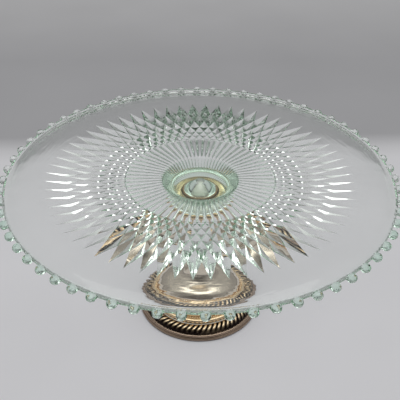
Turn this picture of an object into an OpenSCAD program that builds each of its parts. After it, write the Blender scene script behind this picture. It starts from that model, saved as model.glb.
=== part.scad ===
// Round pressed-glass cake plate on a silver-plated pedestal foot.
// Millimetres, +Z up, origin on the table at the centre of the foot.
// The plate drops over a peg on the pedestal, turns on a cork washer and lifts off.

/* [Glass plate] */
// Height of the plate's flat top above the table
plate_top = 129.1; // [120:0.1:140]
// Radius of the plate's edge, without its beads
plate_r = 150.5; // [146:0.5:153]
// Thickness of the plate at its edge
edge_t = 5; // [4.5:0.1:6]
// Thickness of the flat part of the plate
plate_t = 3.3; // [3:0.1:4]
// Number of repeats of beads, star points and flutes
repeats = 64; // [32:2:72]
// Radius of one edge bead
bead_r = 3.4; // [2.5:0.1:4]
// Radius of the circle through the bead centres
bead_ring_r = 152.6; // [150:0.1:154]
// Turn of the beads about the axis, from the front
bead_turn = 1.64; // [-3:0.01:3]

/* [Star and flutes] */
// Radius at the star's points
star_tip_r = 121; // [110:0.5:125]
// Radius of the circle that every groove of the star touches
star_groove_r = 31.9; // [28:0.1:36]
// Rows of diamonds from the points inwards
star_rows = 5; // [3:1:5]
// Rise of the diamond facets, as a slope
star_slope = 0.68; // [0.4:0.01:0.9]
// Turn of the star about the axis, from the front
star_turn = -1.87; // [-3:0.01:3]
// Outer radius of the flutes
flute_r = 58.4; // [56:0.1:59.5]
// Rise of the flutes, as a slope
flute_slope = 0.3; // [0.1:0.01:0.35]

/* [Glass boss] */
// Radius at which the boss starts under the plate
boss_r = 32; // [30:0.5:34]
// Radius of the boss at its waist, below the slope
boss_waist_r = 22.5; // [21:0.5:24]
// Depth of the boss below the plate's top
boss_depth = 27.6; // [26:0.1:29]
// Radius of the fillet between plate and boss
boss_fillet = 4; // [3:0.5:5]
// Radius of the socket at its mouth
socket_r = 12.4; // [12.2:0.1:12.8]
// Radius of the socket at its top
socket_top_r = 3.7; // [3:0.1:5]
// Depth of the socket
socket_depth = 19; // [17:0.5:19.5]

/* [Foot] */
// Radius of the foot at the table
foot_r = 50.7; // [48:0.1:54]
// Number of lobes of the gadroon border
gadroon_lobes = 68; // [40:1:72]
// Radius of the dome where it leaves the border
dome_r = 35.5; // [34:0.1:36]
// Thickness of the plated metal shells
shell_t = 1; // [0.8:0.1:1.2]
// Radius of the stem at its narrowest
stem_r = 7.6; // [7:0.1:8]
// Thickness of the felt under the foot
felt_t = 1.2; // [0.8:0.1:1.6]

/* [Hidden] */
$fn = 96;

step = 360 / repeats;
plate_under = plate_top - plate_t;
edge_under = plate_top - edge_t;
bead_drop = 3.2;
bead_z = plate_top - bead_drop;
edge_round = 1.6;
tip_margin = 1;
wedge_in_r = star_tip_r + tip_margin;
wedge_out_r = plate_r - 2.5;
wedge_power = 3;
embed = 0.6;
proud = 0.05;

boss_bottom = plate_top - boss_depth;
boss_slope = 55;
boss_waist_z = boss_bottom + 11.5;
boss_band = [boss_waist_r - 0.5, boss_bottom + 3.5];
boss_flat_r = 15.5;
socket_round = 2;

cork_gap = 0.1;
cork_top = boss_bottom - cork_gap;
cork_t = 4.4;
cup_floor = cork_top - cork_t;
cup_r = 19;
cup_neck_z = 78;
border_in_r = 14.2;
border_out_r = 20.3;
border_h = 3.8;
run_gap = 0.3;
peg_r = 11.5;
peg_shoulder_z = boss_bottom + 1;
peg_dome = 5.5;
peg_bore_top = cup_floor + 7;
border_lip = 0.3;

dome_z = 13.5;
shoulder_r = 18;
shoulder_z = 27;
neck_r = 9;
neck_z = 41;
taper_r = 8;
taper_z = 50;
stem_join_z = 60;
knop_z = 66;
knop_r = 12.5;
knop_h = 7.2;
knop_collar = [9.7, 1.2];

rim_in_r = 47;
rim_h = 5;
rim_low_bead = [1.4, 1.3];
rim_high_bead = [3.9, 1.1];
rim_inset = 2;
border_low = [47.6, 5.05];
border_high = [40.6, 9.4];
border_floor = [[46.9, 5.05], [40.6, 8.15]];
flange_r = rim_in_r - 0.2;
flange_z = 4.4;
shelf = [38.6, 9.2];
collar = [35.7, 12.6];
shelf_inset = [shell_t, 1.6 * shell_t];
collar_inset = [1.4 * shell_t, 1.2 * shell_t];

rod_r = 2.5;
rod_gap = 0.1;
washer_r = 8;
nut_r = 4.6;
pocket_top = 9.2;
washer_t = 1.2;
nut_t = 4;
rod_low = 3.2;
rod_tip_gap = 1;
cover_t = 1;
cover_r = 46.6;
filler_gap = 0.3;
filler_r = 44;
filler_shelf = [1.6, 2.6];
filler_collar = [2.2, 2];

// Angles run anticlockwise from the front, -Y.
function around(r, a, z) = [r * sin(a), -r * cos(a), z];
function arc(c, rx, rz, a0, a1, n) =
    [for (i = [0:n]) let (a = a0 + (a1 - a0) * i / n) [c[0] + rx * cos(a), c[1] + rz * sin(a)]];

// ---- glass plate -------------------------------------------------------------------------

// Every groove of the star is tangent to one circle. Row j holds the crossings of the grooves.
groove_angle = acos(star_groove_r / star_tip_r);
function row_cos(j) = cos(groove_angle - j * step / 2);
function row_r(j) = star_groove_r / row_cos(j);
function apex_r(j) = 2 * star_groove_r / (row_cos(j - 1) + row_cos(j + 1));
function apex_h(j) = star_slope * (apex_r(j) * row_cos(j + 1) - star_groove_r);
function star_angle(m) = star_turn + m * step / 2;

module star_relief() {
    n = repeats;
    rows = star_rows;
    high = plate_under + embed;
    low = plate_under - proud;
    top_out = [for (m = [0:2 * n - 1]) around(row_r(m % 2), star_angle(m), high)];
    top_in = [for (m = [0:2 * n - 1]) around(row_r(m % 2 == rows % 2 ? rows : rows + 1), star_angle(m), high)];
    crossings = [for (j = [0:rows + 1], k = [0:n - 1]) around(row_r(j), star_angle(2 * k + j % 2), low)];
    apexes = [for (j = [1:rows], k = [0:n - 1])
        around(apex_r(j), star_angle(2 * k + (j - 1) % 2), low - apex_h(j))];
    function out(m) = m % (2 * n);
    function in(m) = 2 * n + m % (2 * n);
    function cross(j, k) = 4 * n + j * n + (k + n) % n;
    function apex(j, k) = 4 * n + (rows + 2) * n + (j - 1) * n + k;
    function low_out(m) = cross(m % 2, floor((m % (2 * n)) / 2));
    function low_in(m) = cross(m % 2 == rows % 2 ? rows : rows + 1, floor((m % (2 * n)) / 2));
    facets = [for (j = [1:rows], k = [0:n - 1])
        let (
            ahead = cross(j, k + (j + 1) % 2),
            behind = cross(j, k - j % 2),
            outer = cross(j - 1, k),
            inner = cross(j + 1, k)
        )
        each [
            [outer, ahead, apex(j, k)], [ahead, inner, apex(j, k)],
            [inner, behind, apex(j, k)], [behind, outer, apex(j, k)]
        ]];
    back = [for (m = [0:2 * n - 1]) each [[out(m), in(m), in(m + 1)], [out(m), in(m + 1), out(m + 1)]]];
    walls = [for (m = [0:2 * n - 1]) each [
        [out(m), out(m + 1), low_out(m + 1), low_out(m)],
        [in(m + 1), in(m), low_in(m), low_in(m + 1)]
    ]];
    polyhedron(concat(top_out, top_in, crossings, apexes), concat(facets, back, walls));
}

module flute_relief() {
    n = repeats;
    high = plate_under + embed;
    low = plate_under - proud;
    radii = [flute_r, boss_r + tip_margin];
    function ridge(r, m) = low - (m % 2) * r * sin(step / 2) * flute_slope;
    tops = [for (r = radii, m = [0:2 * n - 1]) around(r, star_angle(m), high)];
    lows = [for (r = radii, m = [0:2 * n - 1]) around(r, star_angle(m), ridge(r, m))];
    function top(i, m) = i * 2 * n + m % (2 * n);
    function bottom(i, m) = (2 + i) * 2 * n + m % (2 * n);
    faces = [for (m = [0:2 * n - 1]) each [
        [top(0, m), top(1, m), top(1, m + 1), top(0, m + 1)],
        [bottom(0, m), bottom(0, m + 1), bottom(1, m + 1), bottom(1, m)],
        [top(0, m), top(0, m + 1), bottom(0, m + 1), bottom(0, m)],
        [top(1, m + 1), top(1, m), bottom(1, m), bottom(1, m + 1)]
    ]];
    polyhedron(concat(tops, lows), faces);
}

module plate_blank() {
    rotate_extrude($fn = 192) polygon(concat(
        [[0, plate_top]],
        arc([plate_r - edge_round, plate_top - edge_round], edge_round, edge_round, 90, 0, 6),
        arc([plate_r - edge_round, edge_under + edge_round], edge_round, edge_round, 0, -90, 6),
        [for (t = [1:-0.125:0]) [wedge_in_r + (wedge_out_r - wedge_in_r) * t,
            plate_under + (edge_under - plate_under) * pow(t, wedge_power)]],
        arc([boss_r, plate_under - boss_fillet], boss_fillet, boss_fillet, 90, 90 + boss_slope, 6),
        [[boss_waist_r, boss_waist_z]],
        arc([boss_flat_r, boss_band.y], boss_band.x - boss_flat_r, boss_band.y - boss_bottom, 0, -90, 8),
        [[socket_r, boss_bottom], [socket_top_r, boss_bottom + socket_depth - socket_round]],
        [[0, boss_bottom + socket_depth]]
    ));
}

module glass_plate() {
    color("honeydew", 0.6) union() {
        plate_blank();
        star_relief();
        flute_relief();
        for (k = [0:repeats - 1])
            rotate([0, 0, bead_turn + k * step - 90]) translate([bead_ring_r, 0, bead_z])
                sphere(bead_r, $fn = 24);
    }
}

// ---- pedestal head ------------------------------------------------------------------------

module ring(r_in, r_out, z0, z1) {
    translate([0, 0, z0]) difference() {
        cylinder(r = r_out, h = z1 - z0);
        translate([0, 0, -1]) cylinder(r = r_in, h = z1 - z0 + 2);
    }
}

module seat_cork() {
    color("burlywood") ring(peg_r + run_gap, border_in_r - run_gap, cup_floor, cork_top);
}

module locating_peg() {
    color("silver") difference() {
        rotate_extrude() polygon(concat(
            [[0, cup_floor], [peg_r, cup_floor]], arc([0, peg_shoulder_z], peg_r, peg_dome, 0, 90, 10)
        ));
        translate([0, 0, cup_floor - 1]) cylinder(r = rod_r + rod_gap, h = peg_bore_top - cup_floor + 1);
    }
}

module plate_cup() {
    under = cup_floor - shell_t;
    flare = [cup_r - 1.5, cup_neck_z];
    wide = flare[0] - stem_r;
    tall = under - cup_neck_z;
    meet = 180 - asin(tall / (tall + shell_t));
    color("silver") rotate_extrude() polygon(concat(
        arc(flare, wide, tall, 180, 90, 12),
        [[cup_r, under], [cup_r, cup_floor], [rod_r + rod_gap, cup_floor], [rod_r + rod_gap, under]],
        arc(flare, wide + shell_t, tall + shell_t, meet, 180, 12)
    ));
}

module cup_border() {
    teeth = 72;
    tooth_r = 0.55;
    color("goldenrod") union() {
        ring(border_in_r, border_out_r - tooth_r, cup_floor, cup_floor + border_h);
        for (k = [0:teeth - 1])
            rotate([0, 0, k * 360 / teeth]) translate([border_out_r - tooth_r, 0, cup_floor + border_lip])
                cylinder(r = tooth_r, h = border_h - 2 * border_lip, $fn = 14);
    }
}

module stem() {
    color("silver") rotate_extrude() polygon([
        [neck_r, neck_z], [taper_r, taper_z], [stem_r, stem_join_z], [stem_r, cup_neck_z],
        [stem_r - shell_t, cup_neck_z], [stem_r - shell_t, stem_join_z],
        [taper_r - shell_t, taper_z], [neck_r - shell_t, neck_z]
    ]);
}

module stem_knop() {
    h = knop_h / 2;
    bore = stem_r + rod_gap;
    tall = h + knop_collar[1];
    color("silver") rotate_extrude() difference() {
        union() {
            translate([knop_r - h, knop_z]) circle(h, $fn = 48);
            translate([bore, knop_z - h]) square([knop_r - h - bore, 2 * h]);
            translate([bore, knop_z - tall]) square([knop_collar[0] - bore, 2 * tall]);
        }
        translate([0, knop_z - tall - 1]) square([bore, 2 * tall + 2]);
    }
}

// ---- foot ---------------------------------------------------------------------------------

module foot_dome() {
    wide = dome_r - shoulder_r;
    tall = shoulder_z - dome_z;
    narrow = shoulder_r - neck_r;
    rise = neck_z - shoulder_z;
    color("silver") rotate_extrude() polygon(concat(
        [[flange_r, flange_z - shell_t], [flange_r, flange_z], shelf, collar],
        arc([shoulder_r, dome_z], wide, tall, 0, 90, 14),
        arc([shoulder_r, neck_z], narrow, rise, 270, 180, 12),
        arc([shoulder_r, neck_z], narrow + shell_t, rise + shell_t, 180, 270, 12),
        arc([shoulder_r, dome_z], wide - shell_t, tall - shell_t, 90, 0, 14),
        [collar - collar_inset, shelf - shelf_inset]
    ));
}

// A smooth half-round bead on the dome's shelf, with a line of fine beads inside it.
module milled_ring() {
    beads = 120;
    round_at = [38.5, 11.4];
    round_r = 1.9;
    fine_at = [36.62, 13];
    fine_r = 0.85;
    clear = [0.05, 0.05];
    color("gold") union() {
        rotate_extrude() difference() {
            translate(round_at) circle(round_r, $fn = 32);
            polygon([[shelf[0] - 6, shelf[1] - 1], [shelf[0] + 6, shelf[1] - 1], [shelf[0] + 6, shelf[1] + 0.7],
                [shelf[0] - 0.3, shelf[1] + 0.7], collar + clear, collar + [clear[0], 2], [shelf[0] - 6, shelf[1] + 6]]);
        }
        for (k = [0:beads - 1])
            rotate([0, 0, k * 360 / beads]) translate([fine_at[0], 0, fine_at[1]]) sphere(fine_r, $fn = 14);
    }
}

// A half-round border of slanting lobes, swept round the foot.
module gadroon_border() {
    around_n = gadroon_lobes * 5;
    across_n = 7;
    lean = 1.3;
    swell = 2.6;
    groove = 1.1;
    run = border_high - border_low;
    out = [-run[1], -run[0]] / norm(run) * -1;
    function lobe(t, a) =
        let (wave = abs(sin((a * gadroon_lobes - t * lean * 360) / 2)))
        sin(180 * t) * (swell - groove + groove * wave);
    function skin(t, a) =
        let (p = border_low + run * t, h = lobe(t, a)) around(p[0] - out[0] * h, a, p[1] - out[1] * h);
    rim = [for (i = [0:around_n - 1], j = [0:across_n]) skin(j / across_n, i * 360 / around_n)];
    floor_out = [for (i = [0:around_n - 1]) around(border_floor[0][0], i * 360 / around_n, border_floor[0][1])];
    floor_in = [for (i = [0:around_n - 1]) around(border_floor[1][0], i * 360 / around_n, border_floor[1][1])];
    s = across_n + 1;
    function at(i, j) = (i % around_n) * s + j;
    function fo(i) = around_n * s + i % around_n;
    function fi(i) = around_n * (s + 1) + i % around_n;
    faces = [for (i = [0:around_n - 1]) each concat(
        [for (j = [0:across_n - 1]) each [
            [at(i, j), at(i, j + 1), at(i + 1, j + 1)], [at(i, j), at(i + 1, j + 1), at(i + 1, j)]
        ]],
        [
            [at(i, across_n), fi(i), fi(i + 1)], [at(i, across_n), fi(i + 1), at(i + 1, across_n)],
            [fi(i), fo(i), fo(i + 1)], [fi(i), fo(i + 1), fi(i + 1)],
            [fo(i), at(i, 0), at(i + 1, 0)], [fo(i), at(i + 1, 0), fo(i + 1)]
        ]
    )];
    color("goldenrod") polyhedron(concat(rim, floor_out, floor_in), faces);
}

module foot_rim() {
    color("silver") rotate_extrude() difference() {
        union() {
            translate([rim_in_r, 0]) square([foot_r - rim_low_bead[1] - rim_in_r, rim_h]);
            translate([foot_r - rim_low_bead[1], rim_low_bead[0]]) circle(rim_low_bead[1], $fn = 32);
            translate([foot_r - rim_inset, rim_high_bead[0]]) circle(rim_high_bead[1], $fn = 32);
        }
        translate([rim_in_r - 1, -1]) square([foot_r, 1]);
    }
}

// ---- inside the foot ----------------------------------------------------------------------

module tie_rod() {
    color("dimgray") translate([0, 0, rod_low]) cylinder(r = rod_r, h = peg_bore_top - rod_tip_gap - rod_low);
}

module rod_washer() {
    color("dimgray") ring(rod_r + rod_gap, washer_r, pocket_top - washer_t, pocket_top);
}

module rod_nut() {
    low = pocket_top - washer_t - nut_t;
    color("dimgray") translate([0, 0, low]) difference() {
        cylinder(r = nut_r, h = nut_t, $fn = 6);
        translate([0, 0, -1]) cylinder(r = rod_r + rod_gap, h = nut_t + 2);
    }
}

module foot_filler() {
    inset = shell_t + filler_gap;
    low = felt_t + cover_t;
    color("whitesmoke") difference() {
        rotate_extrude() polygon(concat(
            [[0, low], [filler_r, low], [filler_r, flange_z - inset], shelf - filler_shelf, collar - filler_collar],
            arc([shoulder_r, dome_z], dome_r - shoulder_r - inset, shoulder_z - dome_z - inset, 0, 90, 14),
            [[0, shoulder_z - inset]]
        ));
        translate([0, 0, -1]) cylinder(r = rod_r + rod_gap, h = 60);
        translate([0, 0, low - 1]) cylinder(r = washer_r + 1, h = pocket_top - low + 1);
    }
}

module base_plate() {
    color("gray") translate([0, 0, felt_t]) cylinder(r = cover_r, h = cover_t);
}

module base_felt() {
    color("darkgreen") cylinder(r = cover_r, h = felt_t);
}

glass_plate();
seat_cork();
locating_peg();
plate_cup();
cup_border();
stem();
stem_knop();
foot_dome();
milled_ring();
gadroon_border();
foot_rim();
tie_rod();
rod_washer();
rod_nut();
foot_filler();
base_plate();
base_felt();
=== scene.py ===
# A pressed-glass cake plate on a silver-plated pedestal foot: its looks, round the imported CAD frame.
# Points are worked out in millimetres, as in the CAD model, and turned into metres when a mesh is made.
import math

import bpy
import numpy as np
from mathutils import Matrix, Vector


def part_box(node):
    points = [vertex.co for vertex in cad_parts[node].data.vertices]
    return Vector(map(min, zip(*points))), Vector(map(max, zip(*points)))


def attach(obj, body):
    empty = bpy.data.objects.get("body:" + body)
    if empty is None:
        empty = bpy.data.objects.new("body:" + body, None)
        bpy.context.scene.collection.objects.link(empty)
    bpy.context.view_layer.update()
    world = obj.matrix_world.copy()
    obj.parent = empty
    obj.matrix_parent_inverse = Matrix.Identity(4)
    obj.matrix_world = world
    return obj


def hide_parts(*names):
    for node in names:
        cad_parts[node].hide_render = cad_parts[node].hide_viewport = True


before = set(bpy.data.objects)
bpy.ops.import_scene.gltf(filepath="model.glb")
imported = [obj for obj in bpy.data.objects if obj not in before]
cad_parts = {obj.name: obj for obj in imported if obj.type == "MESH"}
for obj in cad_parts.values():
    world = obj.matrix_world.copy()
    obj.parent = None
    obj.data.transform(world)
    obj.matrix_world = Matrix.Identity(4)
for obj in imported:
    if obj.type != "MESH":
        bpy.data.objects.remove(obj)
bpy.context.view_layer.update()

MM = 0.001


def node_low(name):
    return np.array(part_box(name)[0]) / MM


def node_high(name):
    return np.array(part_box(name)[1]) / MM


# ---- sizes, in millimetres ---------------------------------------------------------------

# The plate: 64 repeats of edge bead, star point and flute, each of 32 fine steps. In the CAD model the
# beads stand a little above the flat top. Here they are level with it.
REPEATS = 64
STEP = 2 * math.pi / REPEATS
FINE = 32
CAD_BEAD_RISE = 0.2
BEAD_R = 3.4
BEAD_SIDE = 3.6
BEAD_HALF_H = 3.3
BEAD_DROP = 3.3
BEAD_RING_R = node_high("glass_plate")[0] - BEAD_R
PLATE_TOP = node_high("glass_plate")[2] - CAD_BEAD_RISE
PLATE_R = 150.5
EDGE_T = 5.0
PLATE_T = 3.3
EDGE_ROUND = 1.6
STAR_TURN = math.radians(-1.87)
BEAD_STEPS = 20
STAR_TIP_R = 121.0
STAR_GROOVE_R = 31.9
STAR_ROWS = 6
STAR_SLOPE = 0.68
FLUTE_R = 58.4
FLUTE_SLOPE = 0.7
FLUTE_FINE = 8
FLUTE_SINK = 0.45
FLUTE_START_R = FLUTE_R - 0.6
BOSS_TOP_R = 32.0
BOSS_FILLET = 4.0
BOSS_SLOPE = 55.0
BOSS_BAND = [(22.5, 113.0), (22.0, 105.0)]
BOSS_FLAT_R = 15.5
BOSS_BOTTOM = node_low("glass_plate")[2]
SOCKET_R = 12.4
SOCKET_TOP_R = 3.7
SOCKET_DEPTH = 19.0
SOCKET_LIP = 0.4
SOCKET_CROWN = 2.0
PEG_R = 11.5
PEG_DOME = 5.5
BORDER_IN = 14.2
BORDER_OUT = node_high("cup_border")[0]
RIB = 0.7

UNDER = PLATE_TOP - PLATE_T
EDGE_UNDER = PLATE_TOP - EDGE_T
WEDGE_OUT_R = 148.0
WEDGE_IN_R = STAR_TIP_R + 1.0
WEDGE_POWER = 3.0
WEDGE_RINGS = 12
FLAT_RING_R = WEDGE_OUT_R - 4.0

# The foot. The dome and the cup are spun from sheet 1 mm thick.
SHEET_T = 1.0
FOOT_R = node_high("foot_rim")[0]
DOME_R = 35.5
DOME_Z = 13.5
SHOULDER = (18.0, 27.0)
NECK = (9.0, node_high("foot_dome")[2])
BORDER_LOW = np.array([47.6, 5.05])
BORDER_HIGH = np.array([40.6, 9.4])
LOBES = 68

# ---- looks, in metres --------------------------------------------------------------------

BLACK = (0.0, 0.0, 0.0)
WHITE = (1.0, 1.0, 1.0)

# The glass: its bending of light, and the green that shows where it is thick.
GLASS_IOR = 1.52
GLASS_GREEN = (0.15, 0.62, 0.27)
GLASS_DENSITY = 8.0

# General waviness of the glass: how many waves to the metre.
WAVES = 45.0

# Ripples in the plain zone: how many to the metre outwards, how much they change round the plate, and
# how deep they are beside the general waviness. They start, are full, fade and end at four radii.
RIPPLES = 140.0
RIPPLE_TURNS = 4.0
RIPPLE_DEPTH = 0.5
RIPPLE_ZONE = (0.119, 0.124, 0.147, 0.149)

# Lumps in the beads' glass: how many to the metre, and how deep.
BEAD_LUMPS = 350.0
BEAD_LUMP_DEPTH = 7.5

# The rim's look starts at one radius and is full at the next. Its green is painted light, a tint for the
# light that the glass carries along its rim; it and the dullness reach their full strength 60 mm in front of
# the middle, and there are none behind the middle.
EDGE_START = 0.1490
EDGE_FULL = 0.1505
EDGE_FADE = 0.06
EDGE_PAINTED_GREEN = (0.80, 0.98, 0.88)
EDGE_ROUGHNESS = 0.08

# The paper's tone by distance behind the middle: painted shade, grey behind the stand where a backdrop would
# be less lit, and lighter again far back. The lines of equal tone slant a little.
FLOOR_TONE = (0.755, 0.755, 0.78)
FLOOR_MID = (0.66, 0.66, 0.68)
BACK_PAINTED_SHADE = (0.43, 0.43, 0.445)
BACK_FAR = (0.66, 0.66, 0.67)
SWEEP_PAINTED_SHADE = [(0.0, FLOOR_TONE), (0.232, FLOOR_TONE), (0.255, FLOOR_MID), (0.285, BACK_PAINTED_SHADE),
         (0.5, BACK_PAINTED_SHADE), (0.9, BACK_FAR)]
SWEEP_SLANT = -0.05

# Painted shade: the paper darkens to its edge tone between these two distances, at the sides and in front,
# as if the light fell off there.
PAINTED_FALLOFF_RANGE = (0.36, 0.70)
PAINTED_FALLOFF_TONE = (0.05, 0.048, 0.045)

# The light tent's tone by height: 0 is straight down, 0.5 the horizon and 1 straight up.
SKY = [(0.0, (0.03, 0.029, 0.027)), (0.5, (0.03, 0.029, 0.027)), (0.53, (0.25, 0.25, 0.25)),
       (0.72, (0.24, 0.24, 0.24)), (0.85, (0.38, 0.38, 0.38)), (0.93, (0.66, 0.66, 0.66)),
       (0.965, (0.88, 0.88, 0.88)), (1.0, (0.88, 0.88, 0.87))]

# The tent's front, where the photographer stands, and how far forward it starts and is complete.
FRONT_TONE = (0.055, 0.045, 0.035)
FRONT_FADE = (0.35, 0.95)

# ---- mesh helpers ------------------------------------------------------------------------


class Mesh:
    """Collects points and faces in millimetres and makes one object of them."""

    def __init__(self):
        self.points = []
        self.count = 0
        self.faces = []
        self.flat = []
        self.wear_and_light = []

    def add(self, points, wear_and_light=0.5):
        points = np.atleast_2d(points)
        start = self.count
        self.points.append(points)
        self.wear_and_light.append(np.broadcast_to(wear_and_light, (len(points),)))
        self.count += len(points)
        return np.arange(start, self.count)

    def face(self, *indices, flat=False):
        self.faces.append([int(i) for i in indices])
        self.flat.append(flat)

    def bridge(self, a, b):
        """Closed strip of quads that faces outwards where ring a, anticlockwise, lies above ring b."""
        n = len(a)
        for i in range(n):
            j = (i + 1) % n
            self.face(a[i], b[i], b[j], a[j])

    def strip(self, rings):
        """Bridges each ring to the next."""
        for a, b in zip(rings, rings[1:]):
            self.bridge(a, b)

    def tube(self, rings):
        """Bridges each ring back to the one before it, and the first to the last, as a closed tube."""
        for a, b in zip(rings, rings[1:] + rings[:1]):
            self.bridge(b, a)

    def make(self, name, sharp_deg):
        mesh = bpy.data.meshes.new(name)
        points = np.concatenate(self.points) * MM
        mesh.from_pydata(points.tolist(), [], self.faces)
        mesh.polygons.foreach_set("use_smooth", [not f for f in self.flat])
        # Each point's tone: low for tarnish with painted shade in hollows, high on bright crests.
        wear_and_light = mesh.attributes.new("wear_and_light", "FLOAT", "POINT")
        wear_and_light.data.foreach_set("value", np.concatenate(self.wear_and_light).astype(np.float32))
        mesh.validate()
        mesh.update()
        mesh.set_sharp_from_angle(angle=math.radians(sharp_deg))
        made = bpy.data.objects.new(name, mesh)
        bpy.context.scene.collection.objects.link(made)
        return made


def polar(r, angle, z):
    """Points at angles that run anticlockwise from the front, -Y."""
    r, angle, z = np.broadcast_arrays(np.asarray(r, float), angle, z)
    return np.stack([r * np.sin(angle), -r * np.cos(angle), z], -1).reshape(-1, 3)


def straight(start, end, steps):
    """Points along a straight line, without its first."""
    return [(start[0] + (end[0] - start[0]) * t, start[1] + (end[1] - start[1]) * t)
            for t in np.linspace(0, 1, steps + 1)[1:]]


def full_turn(count):
    return np.arange(count) * 2 * math.pi / count


def arc(centre, rx, rz, start, end, steps):
    """Points along an ellipse, with its angles in degrees."""
    a = np.radians(np.linspace(start, end, steps + 1))
    return [(centre[0] + rx * math.cos(t), centre[1] + rz * math.sin(t)) for t in a]


def lathe(name, outline, segments, sharp_deg):
    """Closed outline of (r, z) points, anticlockwise in the r-z plane, turned round the axis."""
    made = Mesh()
    angles = full_turn(segments)
    rings = []
    for r, z in outline:
        if r < 1e-6:
            rings.append(made.add(polar(0, 0, z)).repeat(segments))
        else:
            rings.append(made.add(polar(r, angles, z)))
    for i in range(len(outline)):
        a, b = rings[i], rings[(i + 1) % len(outline)]
        if a[0] == a[1] and b[0] == b[1]:
            continue
        for k in range(segments):
            j = (k + 1) % segments
            corners = [a[k], a[j], b[j], b[k]]
            unique = [c for n, c in enumerate(corners) if c not in corners[:n]]
            made.face(*unique)
    return made.make(name, sharp_deg)


# ---- the glass plate ---------------------------------------------------------------------


def grid_angle(i):
    """Angle of fine step i. Step 0 is a star point."""
    return STAR_TURN + np.asarray(i, float) * STEP / FINE


def row_cos(j):
    """Cosine of the angle between a groove's nearest point to the axis and its crossing in row j."""
    return math.cos(math.acos(STAR_GROOVE_R / STAR_TIP_R) - j * STEP / 2)


def row_r(j):
    """Radius of the crossings in row j. Row 0 is the star's tips."""
    return STAR_GROOVE_R / row_cos(j)


def apex_r(j):
    """Radius of the diamonds' tops between rows j - 1 and j + 1."""
    return 2 * STAR_GROOVE_R / (row_cos(j - 1) + row_cos(j + 1))


def facet_rise(r, j):
    """Rise of the diamond facets over the grooves that cross in row j, on that row's radius."""
    return STAR_SLOPE * abs(r * row_cos(j) - STAR_GROOVE_R)


def edge_section(steps=30):
    """Outline of the rim at each fine step of one repeat: the rounded edge with its bead blended in."""
    half = EDGE_T / 2
    middle = PLATE_TOP - half
    bead_z = PLATE_TOP - BEAD_DROP
    blend = 0.5
    far = 9.0
    samples = 400
    halvings = 30
    turn = (np.arange(FINE) - BEAD_STEPS + FINE / 2) % FINE - FINE / 2
    turn = (turn * STEP / FINE)[:, None, None]
    tilt = np.radians(np.linspace(90, -90, steps + 1))[None, :, None]

    def solid(t):
        """Below zero inside the glass, at distance t from the edge's middle line."""
        r = WEDGE_OUT_R + t * np.cos(tilt)
        z = middle + t * np.sin(tilt)
        qr = r - (PLATE_R - EDGE_ROUND)
        qz = np.abs(z - middle) - (half - EDGE_ROUND)
        outside = np.hypot(np.maximum(qr, 0), np.maximum(qz, 0))
        slab = outside + np.minimum(np.maximum(qr, qz), 0) - EDGE_ROUND
        x = (r * np.cos(turn) - BEAD_RING_R) / BEAD_R
        y = r * np.sin(turn) / BEAD_SIDE
        h = (z - bead_z) / BEAD_HALF_H
        bead = (np.sqrt(x**2 + y**2 + h**2) - 1) * BEAD_R
        mix = np.clip(0.5 + 0.5 * (bead - slab) / blend, 0, 1)
        return bead * (1 - mix) + slab * mix - blend * mix * (1 - mix)

    t = np.linspace(far, 0, samples)[None, None, :]
    inside = solid(t) < 0
    first = inside.argmax(-1)
    high = t[0, 0, np.maximum(first - 1, 0)]
    low = t[0, 0, first]
    for _ in range(halvings):
        mid = (high + low) / 2
        within = solid(mid[..., None])[..., 0] < 0
        low = np.where(within, mid, low)
        high = np.where(within, high, mid)
    tilt = tilt[..., 0]
    r = WEDGE_OUT_R + low * np.cos(tilt)
    z = middle + low * np.sin(tilt)
    z[:, 0], z[:, -1] = PLATE_TOP, EDGE_UNDER
    r[:, 0], r[:, -1] = WEDGE_OUT_R, WEDGE_OUT_R
    return r, z


def add_rim(made):
    """The edge with its beads. Returns the ring on the flat top and the ring under the edge."""
    r, z = edge_section()
    steps = np.arange(REPEATS * FINE)
    rings = [made.add(polar(np.tile(r[:, m], REPEATS), grid_angle(steps), np.tile(z[:, m], REPEATS)))
             for m in range(r.shape[1])]
    made.strip(rings)
    return rings[0], rings[-1]


def add_top(made, rim):
    """The flat top inside the rim."""
    inner = made.add(polar(FLAT_RING_R, grid_angle(np.arange(REPEATS) * FINE), PLATE_TOP))
    middle = made.add(polar(0, 0, PLATE_TOP))[0]
    for k in range(REPEATS):
        ahead = (k + 1) % REPEATS
        outer = [rim[(k * FINE + i) % len(rim)] for i in range(FINE + 1)]
        made.face(*outer, inner[ahead], inner[k])
        made.face(middle, inner[k], inner[ahead])


def add_wedge(made, rim):
    """The plain zone's underside, where the glass thickens towards the edge."""
    steps = np.arange(REPEATS * FINE)
    rings = [rim]
    for t in np.linspace(1, 0, WEDGE_RINGS + 1)[1:]:
        r = WEDGE_IN_R + (WEDGE_OUT_R - WEDGE_IN_R) * t
        z = UNDER + (EDGE_UNDER - UNDER) * t**WEDGE_POWER
        rings.append(made.add(polar(r, grid_angle(steps), z)))
    made.strip(rings)
    return rings[-1]


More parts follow.
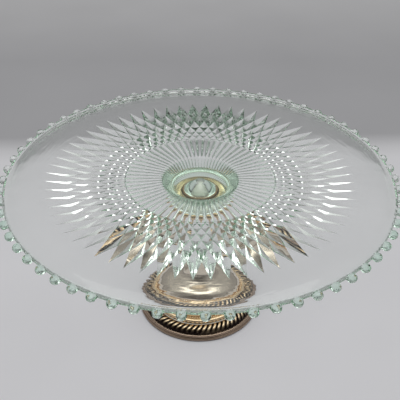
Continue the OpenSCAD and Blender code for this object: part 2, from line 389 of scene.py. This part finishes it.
def add_star(made, ring):
    """The star of diamonds. Returns the four points of each repeat where the round stop line cuts it."""
    numbers = np.arange(REPEATS)

    def row_angle(j):
        """Angles of row j. Every other row is half a repeat further on."""
        return grid_angle(FINE * numbers + FINE / 2 * (j % 2))

    cross = [made.add(polar(row_r(j), row_angle(j), UNDER)) for j in range(STAR_ROWS + 1)]
    apex = {}
    for j in range(1, STAR_ROWS + 1):
        rise = facet_rise(apex_r(j), j + 1)
        apex[j] = made.add(polar(apex_r(j), row_angle(j - 1), UNDER - rise))

    for k in range(REPEATS):
        ahead = (k + 1) % REPEATS
        outer = [ring[(k * FINE + i) % len(ring)] for i in range(FINE + 1)]
        made.face(cross[0][k], cross[1][k], cross[0][ahead], *outer[::-1])

    # The stop line: diamond middle, groove, next row's middle, groove.
    cut = math.acos(STAR_GROOVE_R / FLUTE_R)
    side = math.acos(row_cos(STAR_ROWS)) - cut
    middle = FINE * numbers + FINE / 2
    offset = side / (STEP / FINE)
    low = UNDER - facet_rise(FLUTE_R, STAR_ROWS + 1)
    shallow = UNDER - facet_rise(FLUTE_R, STAR_ROWS)
    stop = [
        made.add(polar(FLUTE_R, grid_angle(middle), low)),
        made.add(polar(FLUTE_R, grid_angle(middle + FINE / 2 - offset), UNDER)),
        made.add(polar(FLUTE_R, grid_angle(middle + FINE / 2), shallow)),
        made.add(polar(FLUTE_R, grid_angle(middle + FINE / 2 + offset), UNDER)),
    ]
    for j in range(1, STAR_ROWS + 1):
        for k in range(REPEATS):
            ahead = cross[j][(k + (j + 1) % 2) % REPEATS]
            behind = cross[j][(k - j % 2) % REPEATS]
            top = apex[j][k]
            made.face(cross[j - 1][k], behind, top, flat=True)
            made.face(cross[j - 1][k], top, ahead, flat=True)
            if j < STAR_ROWS:
                made.face(cross[j + 1][k], ahead, top, flat=True)
                made.face(cross[j + 1][k], top, behind, flat=True)
            else:
                before = stop[3][(k - 1) % REPEATS]
                made.face(stop[0][k], stop[1][k], ahead, top, flat=True)
                made.face(stop[0][k], top, behind, before, flat=True)
                made.face(stop[2][k], ahead, stop[1][k], flat=True)
                made.face(stop[2][k], stop[3][k], ahead, flat=True)
    return stop


def boss_profile():
    """The underside from the flutes inwards and down the boss: (radius, height, depth of the flutes)."""
    start = UNDER - FLUTE_SINK
    points = [(r, start) for r in np.linspace(FLUTE_START_R, BOSS_TOP_R, 6)]
    points += arc((BOSS_TOP_R, start - BOSS_FILLET), BOSS_FILLET, BOSS_FILLET, 90, 90 + BOSS_SLOPE, 8)[1:]
    band, low = BOSS_BAND
    low_r, low_z = low
    points += straight(points[-1], band, 7)
    points += straight(band, low, 3)
    points = [(r, z, 1.0) for r, z in points]
    corner = arc((BOSS_FLAT_R, low_z), low_r - BOSS_FLAT_R, low_z - BOSS_BOTTOM, 0, -90, 12)[1:]
    points += [(r, z, 1 - ((low_z - z) / (low_z - BOSS_BOTTOM)) ** 4) for r, z in corner]
    return np.array(points)


def add_flutes_and_boss(made, stop):
    """The fluted disc, the fluted boss, its flat bottom and the socket."""
    total = REPEATS * FLUTE_FINE
    fine = FINE / 2 + np.arange(total) * FINE / FLUTE_FINE
    u = ((np.arange(total) + FLUTE_FINE / 2) % FLUTE_FINE) / FLUTE_FINE * 2 - 1
    profile = boss_profile()
    along = np.gradient(profile[:, :2], axis=0)
    along /= np.linalg.norm(along, axis=1)[:, None]
    rings = []
    for (r, z, depth), (dr, dz) in zip(profile, along):
        rise = depth * FLUTE_SLOPE * r * math.sin(STEP / 2) / 2 * (1 - u**2)
        rings.append(made.add(polar(r - dz * rise, grid_angle(fine), z + dr * rise)))

    # The small step from the star's stop line down to the flutes, split where the grooves meet it.
    first, n = rings[0], FLUTE_FINE
    for k in range(REPEATS):
        ahead = (k + 1) % REPEATS
        lows = [first[(k * n + i) % total] for i in range(n + 1)]
        cuts = [0, 3 * n // 8, n // 2, 5 * n // 8, n]
        highs = [stop[0][k], stop[1][k], stop[2][k], stop[3][k], stop[0][ahead]]
        for m in range(4):
            made.face(highs[m], *lows[cuts[m]:cuts[m + 1] + 1], highs[m + 1], flat=True)
    made.strip(rings)

    # The socket: a rounded lip, a cone and a shallow crown.
    last = rings[-1]
    angles = grid_angle(fine)
    top = BOSS_BOTTOM + SOCKET_DEPTH
    low = BOSS_BOTTOM + SOCKET_LIP
    high = top - SOCKET_CROWN
    socket = [(SOCKET_R + SOCKET_LIP, BOSS_BOTTOM), (SOCKET_R + 0.1, BOSS_BOTTOM + 0.1), (SOCKET_R, low)]
    socket += straight((SOCKET_R, low), (SOCKET_TOP_R, high), 8)
    socket += arc((0, high), SOCKET_TOP_R, SOCKET_CROWN, 0, 85, 8)[1:]
    for r, z in socket:
        ring = made.add(polar(r, angles, z))
        made.bridge(last, ring)
        last = ring
    pole = made.add(polar(0, 0, top))[0]
    for i in range(len(last)):
        made.face(last[i], pole, last[(i + 1) % len(last)])


def glass_plate():
    made = Mesh()
    top, under = add_rim(made)
    add_top(made, top)
    wedge = add_wedge(made, under)
    stop = add_star(made, wedge)
    add_flutes_and_boss(made, stop)
    return made.make("plate_glass", sharp_deg=24)


# ---- the plated pedestal -----------------------------------------------------------------


def foot_dome():
    """Spun dome: a flange under the borders, a round shoulder and a hollow curve up to the neck."""
    wide, tall = DOME_R - SHOULDER[0], SHOULDER[1] - DOME_Z
    narrow, rise = SHOULDER[0] - NECK[0], NECK[1] - SHOULDER[1]
    t = SHEET_T
    outer = [(46.8, 3.4), (46.8, 4.4), (38.6, 9.2), (DOME_R + 0.2, 12.6)]
    outer += arc((SHOULDER[0], DOME_Z), wide, tall, 0, 90, 24)
    outer += arc((SHOULDER[0], NECK[1]), narrow, rise, 270, 180, 24)[1:]
    inner = arc((SHOULDER[0], NECK[1]), narrow + t, rise + t, 180, 270, 24)
    inner += arc((SHOULDER[0], DOME_Z), wide - t, tall - t, 90, 0, 24)[1:]
    inner += [(DOME_R - 1.2, 11.4), (37.6, 7.6)]
    return lathe("foot_dome_plated", outer + inner, 256, 35)


def stem_tube():
    """Spun tube that narrows upwards."""
    low, high = node_low("stem")[2], node_high("stem")[2]
    outer = [(9.0, low), (8.35, low + 5), (8.0, low + 9), (7.75, low + 14), (7.6, low + 19), (7.6, high)]
    inner = [(6.6, high), (6.6, low + 19), (7.0, low + 9), (8.0, low)]
    return lathe("stem_plated", outer + inner, 128, 35)


def stem_knop():
    """Turned ring: a round bulge between two collars."""
    low, high = node_low("stem_knop"), node_high("stem_knop")
    middle = (low[2] + high[2]) / 2
    bulge = 3.6
    bore, collar = 7.7, 9.7
    outline = [(bore, low[2]), (collar - 0.5, low[2]), (collar, low[2] + 0.4)]
    outline += [(collar, middle - bulge + 0.1)]
    outline += arc((high[0] - bulge, middle), bulge, bulge, -78, 78, 24)
    outline += [(collar, middle + bulge - 0.1)]
    outline += [(collar, high[2] - 0.4), (collar - 0.5, high[2]), (bore, high[2])]
    return lathe("stem_knop_plated", outline, 160, 40)


def plate_cup():
    """Spun cup that flares from the stem to a flat top under the boss."""
    low, high = node_low("plate_cup")[2], node_high("plate_cup")[2]
    rim, bore = 19.0, 2.6
    t = SHEET_T
    under = high - t
    centre = (17.5, low)
    wide, tall = 17.5 - 7.6, under - low
    meet = 180 - math.degrees(math.asin(tall / (tall + t)))
    outline = arc(centre, wide, tall, 180, 90, 24)
    outline += [(rim - 0.3, under), (rim, under + 0.3), (rim, high - 0.2), (rim - 0.2, high)]
    outline += [(bore, high), (bore, under)]
    outline += arc(centre, wide + t, tall + t, meet, 180, 24)
    return lathe("plate_cup_plated", outline, 160, 35)


def foot_rim():
    """Stepped outer rim: a round bead on the ground and a smaller one above it."""
    r = FOOT_R
    outline = [(47.0, 0), (r - 1.3, 0)]
    outline += arc((r - 1.3, 1.4), 1.3, 1.3, -80, 62, 14)
    outline += arc((r - 2.0, 3.9), 1.1, 1.1, -35, 90, 10)
    outline += [(47.0, 5.0)]
    return lathe("foot_rim_plated", outline, 256, 40)


def locating_peg():
    """Low domed peg, hollow for the end of the rod."""
    low = node_low("locating_peg")
    base = BOSS_BOTTOM + 1.0
    outline = [(2.6, low[2]), (PEG_R, low[2])] + arc((0, base), PEG_R, PEG_DOME, 0, 88, 24)
    outline += [(0, base + PEG_DOME), (0, low[2] + 7), (2.6, low[2] + 7)]
    return lathe("locating_peg_plated", outline, 128, 35)


def gadroon_border():
    """Slanting lobes swept round the foot, with deep grooves between them."""
    made = Mesh()
    around, across = LOBES * 12, 22
    base_height, lobe_height = 1.5, 1.1
    run = BORDER_HIGH - BORDER_LOW
    out = np.array([run[1], -run[0]]) / np.linalg.norm(run)
    angles = full_turn(around)
    lean = 1.3
    rings = []
    for t in np.linspace(0, 1, across + 1):
        phase = (angles * LOBES - t * lean * 2 * math.pi) / 2
        wave = np.sqrt(np.abs(np.sin(phase)))
        height = math.sin(math.pi * t) ** 0.8 * (base_height + lobe_height * wave)
        # Tarnish with painted shade: dark in the grooves and low on the band, bright only on the lobes'
        # crests.
        wear_and_light = (wave**8 * 1.1 - 0.15) * min(1, (t / 0.45) ** 3)
        p = BORDER_LOW + run * t
        rings.append(made.add(polar(p[0] + out[0] * height, angles, p[1] + out[1] * height), wear_and_light))
    rings.append(made.add(polar(BORDER_HIGH[0], angles, BORDER_HIGH[1] - 0.4), 0.1))
    rings.append(made.add(polar(BORDER_LOW[0] - 0.2, angles, BORDER_LOW[1] - 0.4), 0.1))
    made.tube(rings)
    return made.make("gadroon_border_cast", 50)


def milled_ring():
    """A smooth half-round bead with a line of fine beads inside it, as one surface."""
    made = Mesh()
    beads, per = 120, 8
    bead_r, line_r, line_z = 0.85, 36.62, 13.0
    angles = full_turn(beads * per)
    across = 2 * ((angles * beads / (2 * math.pi)) % 1) - 1
    bead = bead_r * np.sqrt(np.maximum(0, 1 - across**2 * 0.9))
    smooth = arc((38.5, 11.4), 1.9, 1.9, -40, 128, 18)
    # Point tone: full on the smooth bead, by height on the fine beads, dark inside: tarnish with painted
    # shade in hollows.
    rings = [made.add(polar(r, angles, z), 1.0) for r, z in smooth]
    for a in np.radians(np.linspace(60, 190, 8)):
        rings.append(made.add(polar(line_r + bead * math.cos(a), angles, line_z + bead * math.sin(a)), bead))
    rings.append(made.add(polar(36.2, angles, 10.4), 0.1))
    made.tube(rings)
    return made.make("milled_ring_cast", 40)


def cup_border():
    """The ribbed band round the cup's rim."""
    made = Mesh()
    low, high = node_low("cup_border"), node_high("cup_border")
    ribs, per = 72, 8
    angles = full_turn(ribs * per)
    rib = np.abs(np.sin(angles * ribs / 2)) ** 0.8
    inner = BORDER_IN
    wall = BORDER_OUT - RIB
    top = high[2] - RIB

    # Points of the section as (radius, height, how far the ribs stand out, how far they stand up).
    section = [(inner, low[2], 0, 0), (wall, low[2], 0, 0), (wall, low[2] + 0.6, 1, 0)]
    section += [(wall, top - 1.4, 1, 0), (wall - 0.5, top - 0.5, 0.7, 0.7), (wall - 1.4, top, 0, 1)]
    section += [(inner + 0.8, top, 0, 1), (inner, top - 0.5, 0, 0)]
    # Point tone: bright on the ribs, dark between them and on the flat parts: tarnish with painted shade.
    rings = [made.add(polar(r + RIB * rib * a, angles, z + RIB * rib * b), 0.05 + 0.95 * rib * max(a, b))
             for r, z, a, b in section]
    made.tube(rings)
    return made.make("cup_border_cast", 50)


# ---- materials ---------------------------------------------------------------------------


class Graph:
    """Makes the nodes of one material or world. Values are outputs to link or plain values to set."""

    def __init__(self, tree):
        self.nodes = tree.nodes
        self.links = tree.links

    def find(self, kind):
        return next(n for n in self.nodes if n.type == kind)

    def feed(self, socket, value):
        if isinstance(value, bpy.types.NodeSocket):
            self.links.new(value, socket)
        else:
            socket.default_value = value

    def coords(self, kind="Object"):
        return self.nodes.new("ShaderNodeTexCoord").outputs[kind]

    def split(self, vector):
        made = self.nodes.new("ShaderNodeSeparateXYZ")
        self.feed(made.inputs["Vector"], vector)
        return made.outputs["X"], made.outputs["Y"], made.outputs["Z"]

    def join(self, *values):
        made = self.nodes.new("ShaderNodeCombineXYZ")
        for socket, value in zip(made.inputs, values):
            self.feed(socket, value)
        return made.outputs["Vector"]

    def math(self, operation, *values):
        made = self.nodes.new("ShaderNodeMath")
        made.operation = operation
        for socket, value in zip(made.inputs, values):
            self.feed(socket, value)
        return made.outputs[0]

    def noise(self, vector, scale, detail, roughness=0.5):
        made = self.nodes.new("ShaderNodeTexNoise")
        made.inputs["Scale"].default_value = scale
        made.inputs["Detail"].default_value = detail
        made.inputs["Roughness"].default_value = roughness
        self.feed(made.inputs["Vector"], vector)
        return made.outputs["Fac"]

    def ramp(self, value, stops):
        """A colour for each value, from stops of (value, colour)."""
        made = self.nodes.new("ShaderNodeValToRGB")
        elements = made.color_ramp.elements
        elements[0].position, elements[0].color = stops[0][0], (*stops[0][1], 1)
        elements[1].position, elements[1].color = stops[-1][0], (*stops[-1][1], 1)
        for position, colour in stops[1:-1]:
            elements.new(position).color = (*colour, 1)
        self.feed(made.inputs["Fac"], value)
        return made.outputs["Color"]

    def map_range(self, value, low, high, to_low=0.0, to_high=1.0, kind="LINEAR"):
        made = self.nodes.new("ShaderNodeMapRange")
        made.interpolation_type = kind
        made.inputs["From Min"].default_value = low
        made.inputs["From Max"].default_value = high
        made.inputs["To Min"].default_value = to_low
        made.inputs["To Max"].default_value = to_high
        self.feed(made.inputs["Value"], value)
        return made.outputs["Result"]

    def mix(self, factor, first, second):
        made = self.nodes.new("ShaderNodeMix")
        made.data_type = "RGBA"
        self.feed(made.inputs["Factor"], factor)
        self.feed(made.inputs["A"], first)
        self.feed(made.inputs["B"], second)
        return made.outputs["Result"]

    def bump(self, shader, height, strength, distance):
        made = self.nodes.new("ShaderNodeBump")
        made.inputs["Strength"].default_value = strength
        made.inputs["Distance"].default_value = distance
        self.feed(made.inputs["Height"], height)
        self.feed(shader.inputs["Normal"], made.outputs["Normal"])


def new_material(name):
    made = bpy.data.materials.new(name)
    made.use_nodes = True
    graph = Graph(made.node_tree)
    return made, graph, graph.find("BSDF_PRINCIPLED")


def glass_material():
    """Clear soda glass, green where thick, with waves, long ripples in the plain zone and lumpy beads."""
    made, graph, shader = new_material("pressed_glass")
    shader.inputs["IOR"].default_value = GLASS_IOR
    shader.inputs["Transmission Weight"].default_value = 1.0
    coords = graph.coords()
    x, y, _ = graph.split(coords)
    radius = graph.math("SQRT", graph.math("MULTIPLY_ADD", y, y, graph.math("MULTIPLY", x, x)))

    # The rim: a painted green light, and a little dull, towards the front.
    edge = graph.ramp(radius, [(EDGE_START, BLACK), (EDGE_FULL, WHITE)])
    side = graph.ramp(graph.math("ADD", y, EDGE_FADE), [(0.0, WHITE), (EDGE_FADE, BLACK)])
    green = graph.math("MULTIPLY", edge, side)
    graph.feed(shader.inputs["Base Color"], graph.ramp(green, [(0.0, WHITE), (1.0, EDGE_PAINTED_GREEN)]))
    graph.feed(shader.inputs["Roughness"], graph.math("MULTIPLY", green, EDGE_ROUGHNESS))

    # The ripples come from a noise that is stretched round the plate.
    around = [graph.math("MULTIPLY", graph.math("DIVIDE", value, radius), RIPPLE_TURNS)
              for value in (x, y)]
    stretched = graph.join(*around, graph.math("MULTIPLY", radius, RIPPLES))
    zone = graph.ramp(radius, list(zip(RIPPLE_ZONE, (BLACK, WHITE, WHITE, BLACK))))
    ripples = graph.math("MULTIPLY", graph.noise(stretched, scale=1.0, detail=2.0), zone)
    waves = graph.noise(coords, scale=WAVES, detail=1.0)
    lumps = graph.math("MULTIPLY", graph.noise(coords, scale=BEAD_LUMPS, detail=1.0), edge)
    height = graph.math("MULTIPLY_ADD", ripples, RIPPLE_DEPTH, waves)
    height = graph.math("MULTIPLY_ADD", lumps, BEAD_LUMP_DEPTH, height)
    graph.bump(shader, height, strength=0.25, distance=0.0012)

    volume = graph.nodes.new("ShaderNodeVolumeAbsorption")
    volume.inputs["Color"].default_value = (*GLASS_GREEN, 1)
    volume.inputs["Density"].default_value = GLASS_DENSITY
    graph.feed(graph.find("OUTPUT_MATERIAL").inputs["Volume"], volume.outputs["Volume"])
    return made


def plated_material(name, bright, dark, roughness):
    """Silver plate with warm tarnish and painted shade: darker where its points' tone is low, as in hollows;
    patchy, with fine polishing marks.
    """
    made, graph, shader = new_material(name)
    coords = graph.coords()
    patch = graph.noise(coords, scale=60.0, detail=5.0, roughness=0.6)
    wear_and_light = graph.nodes.new("ShaderNodeAttribute")
    wear_and_light.attribute_name = "wear_and_light"
    # A low point tone gives the dark colour: tarnish together with painted shade in hollows.
    shade = graph.math("MULTIPLY_ADD", patch, 0.35, wear_and_light.outputs["Fac"])
    graph.feed(shader.inputs["Base Color"], graph.ramp(shade, [(0.2, dark), (0.75, bright)]))
    shader.inputs["Metallic"].default_value = 1.0
    gloss = graph.map_range(patch, 0.3, 0.7, roughness * 0.7, roughness * 1.6)
    graph.feed(shader.inputs["Roughness"], gloss)
    scratches = graph.noise(coords, scale=900.0, detail=2.0)
    graph.bump(shader, scratches, strength=0.06, distance=0.0002)
    return made


def steel_material():
    """Plain steel for the rod, its washer and nut, and the base plate."""
    made, graph, shader = new_material("plain_steel")
    grain = graph.noise(graph.coords(), scale=300.0, detail=4.0)
    colour = graph.ramp(grain, [(0.3, (0.25, 0.24, 0.23)), (0.7, (0.45, 0.44, 0.42))])
    graph.feed(shader.inputs["Base Color"], colour)
    shader.inputs["Metallic"].default_value = 1.0
    shader.inputs["Roughness"].default_value = 0.4
    graph.bump(shader, grain, strength=0.1, distance=0.0002)
    return made


def grainy_material(name, low, high, scale, roughness, depth):
    """Cork, plaster or felt: a speckled colour and a rough surface."""
    made, graph, shader = new_material(name)
    grain = graph.noise(graph.coords(), scale=scale, detail=6.0, roughness=0.7)
    graph.feed(shader.inputs["Base Color"], graph.ramp(grain, [(0.35, low), (0.65, high)]))
    shader.inputs["Roughness"].default_value = roughness
    graph.bump(shader, grain, strength=0.6, distance=depth)
    return made


def floor_material():
    """Pale paper that lies flat round the stand, with painted shade: greyer behind, where it would curve up
    into a backdrop, and darker towards its edges.
    """
    made, graph, shader = new_material("paper_floor")
    coords = graph.coords()
    x, y, _ = graph.split(coords)
    # Painted shade: greyer behind the stand.
    painted_sweep_shade = graph.ramp(graph.math("MULTIPLY_ADD", x, SWEEP_SLANT, y), SWEEP_PAINTED_SHADE)
    # Painted shade: darker towards the sides and front.
    reach = graph.math("MAXIMUM", graph.math("ABSOLUTE", x), graph.math("MULTIPLY", y, -1.0))
    painted_falloff = graph.map_range(reach, *PAINTED_FALLOFF_RANGE, kind="SMOOTHSTEP")
    cloud = graph.noise(coords, scale=6.0, detail=2.0)
    tinted = graph.nodes.new("ShaderNodeVectorMath")
    tinted.operation = "SCALE"
    graph.feed(tinted.inputs["Vector"], graph.mix(painted_falloff, painted_sweep_shade, (*PAINTED_FALLOFF_TONE, 1)))
    graph.feed(tinted.inputs["Scale"], graph.map_range(cloud, 0.3, 0.7, 0.97, 1.03))
    graph.feed(shader.inputs["Base Color"], tinted.outputs["Vector"])
    shader.inputs["Roughness"].default_value = 0.9
    shader.inputs["Specular IOR Level"].default_value = 0.2
    grain = graph.noise(coords, scale=120.0, detail=4.0)
    graph.bump(shader, grain, strength=0.05, distance=0.0005)
    return made


# ---- scene -------------------------------------------------------------------------------


def use(piece, material):
    piece.data.materials.clear()
    piece.data.materials.append(material)
    return piece


def place(piece, node, body, material):
    """Puts a finished piece in the place of its CAD node."""
    use(piece, material)
    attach(piece, body)
    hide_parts(node)


def build_object():
    # Each plate's dark colour shows where the point tone is low: tarnish with painted shade.
    silver = plated_material("silver_plate", (0.88, 0.78, 0.64), (0.16, 0.12, 0.09), roughness=0.14)
    aged = plated_material("aged_plate", (0.44, 0.33, 0.25), (0.08, 0.055, 0.04), roughness=0.18)
    dull = plated_material("dull_plate", (0.92, 0.93, 0.86), (0.55, 0.54, 0.48), roughness=0.55)
    cast = plated_material("cast_plate", (0.90, 0.70, 0.45), (0.018, 0.012, 0.010), roughness=0.20)
    place(glass_plate(), "glass_plate", "plate", glass_material())
    for piece, node in ((foot_dome(), "foot_dome"), (stem_tube(), "stem"), (stem_knop(), "stem_knop"),
                        (plate_cup(), "plate_cup")):
        place(piece, node, "pedestal", silver)
    place(locating_peg(), "locating_peg", "pedestal", dull)
    place(foot_rim(), "foot_rim", "pedestal", aged)
    for piece, node in ((gadroon_border(), "gadroon_border"), (milled_ring(), "milled_ring"),
                        (cup_border(), "cup_border")):
        place(piece, node, "pedestal", cast)

    # The hidden pieces keep their CAD shapes.
    steel = steel_material()
    cork = grainy_material("pressed_cork", low=(0.20, 0.11, 0.05), high=(0.50, 0.33, 0.18),
                           scale=900, roughness=0.9, depth=0.0006)
    plaster = grainy_material("cast_plaster", low=(0.60, 0.57, 0.52), high=(0.78, 0.76, 0.71),
                              scale=200, roughness=0.95, depth=0.0003)
    baize = grainy_material("green_baize", low=(0.010, 0.035, 0.02), high=(0.03, 0.08, 0.05),
                            scale=1500, roughness=1.0, depth=0.0006)
    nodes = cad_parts
    for node in ("tie_rod", "rod_washer", "rod_nut", "base_plate"):
        use(nodes[node], steel)
    use(nodes["seat_cork"], cork)
    use(nodes["foot_filler"], plaster)
    use(nodes["base_felt"], baize)


def add_floor():
    """A flat sheet of square cells under the stand."""
    size, cells = 3.0, 24
    made = Mesh()
    line = np.linspace(-size, size, cells + 1) / MM
    x, y = np.meshgrid(line, line)
    made.add(np.stack([x, y, np.zeros_like(x)], -1).reshape(-1, 3))
    for j in range(cells):
        for i in range(cells):
            a = j * (cells + 1) + i
            made.face(a, a + 1, a + cells + 2, a + cells + 1)
    floor = use(made.make("floor", sharp_deg=30), floor_material())


def add_lamp():
    """A softbox above the stand, aimed at the plate."""
    light = bpy.data.lights.new("top_softbox", "AREA")
    light.shape = "RECTANGLE"
    light.size = 0.9
    light.size_y = 0.7
    light.energy = 2.1
    lamp = bpy.data.objects.new("top_softbox", light)
    bpy.context.scene.collection.objects.link(lamp)
    place_at = Vector((0.0, 0.05, 1.0))
    aim = Vector((0, 0, 0.1))
    lamp.location = place_at
    lamp.rotation_mode = "QUATERNION"
    lamp.rotation_quaternion = (aim - place_at).to_track_quat("-Z", "Y")


def add_world():
    """A light tent: bright above, grey round the sides, dim and warm low down and in front."""
    world = bpy.data.worlds.new("light_tent")
    world.use_nodes = True
    bpy.context.scene.world = world
    graph = Graph(world.node_tree)
    background = graph.find("BACKGROUND")
    _, y, z = graph.split(graph.coords("Generated"))
    sky = graph.ramp(graph.map_range(z, -1.0, 1.0), SKY)
    front = graph.map_range(graph.math("MULTIPLY", y, -1.0), *FRONT_FADE)
    graph.feed(background.inputs["Color"], graph.mix(front, sky, (*FRONT_TONE, 1)))
    background.inputs["Strength"].default_value = 1.2


def add_camera():
    """Looks down on the plate from the front, so that the foot shows below the rim."""
    distance = 0.5988
    elevation = math.radians(34.93)
    roll = math.radians(0.739)
    aim = Vector((0, 0, 0.1062))
    back = Vector((0, -math.cos(elevation), math.sin(elevation)))
    data = bpy.data.cameras.new("camera")
    data.lens = 67.94
    data.sensor_width = 36.0
    data.clip_start = 0.01
    data.clip_end = 20.0
    camera = bpy.data.objects.new("camera", data)
    bpy.context.scene.collection.objects.link(camera)
    camera.rotation_mode = "QUATERNION"
    turn = (-back).to_track_quat("-Z", "Y").to_matrix() @ Matrix.Rotation(roll, 3, "Z")
    camera.rotation_quaternion = turn.to_quaternion()
    camera.location = aim + back * distance
    bpy.context.scene.camera = camera


def set_light_paths():
    """The glass casts no shadow of its own, and a ray may cross its facets many times."""
    plate = bpy.data.objects["plate_glass"]
    plate.visible_shadow = False
    plate.visible_diffuse = False
    scene = bpy.context.scene
    scene.view_settings.view_transform = "Standard"
    scene.cycles.max_bounces = 40
    scene.cycles.transmission_bounces = 40
    scene.cycles.glossy_bounces = 16
    scene.cycles.caustics_refractive = False
    scene.cycles.caustics_reflective = False


add_camera()
build_object()
add_floor()
add_world()
add_lamp()
set_light_paths()
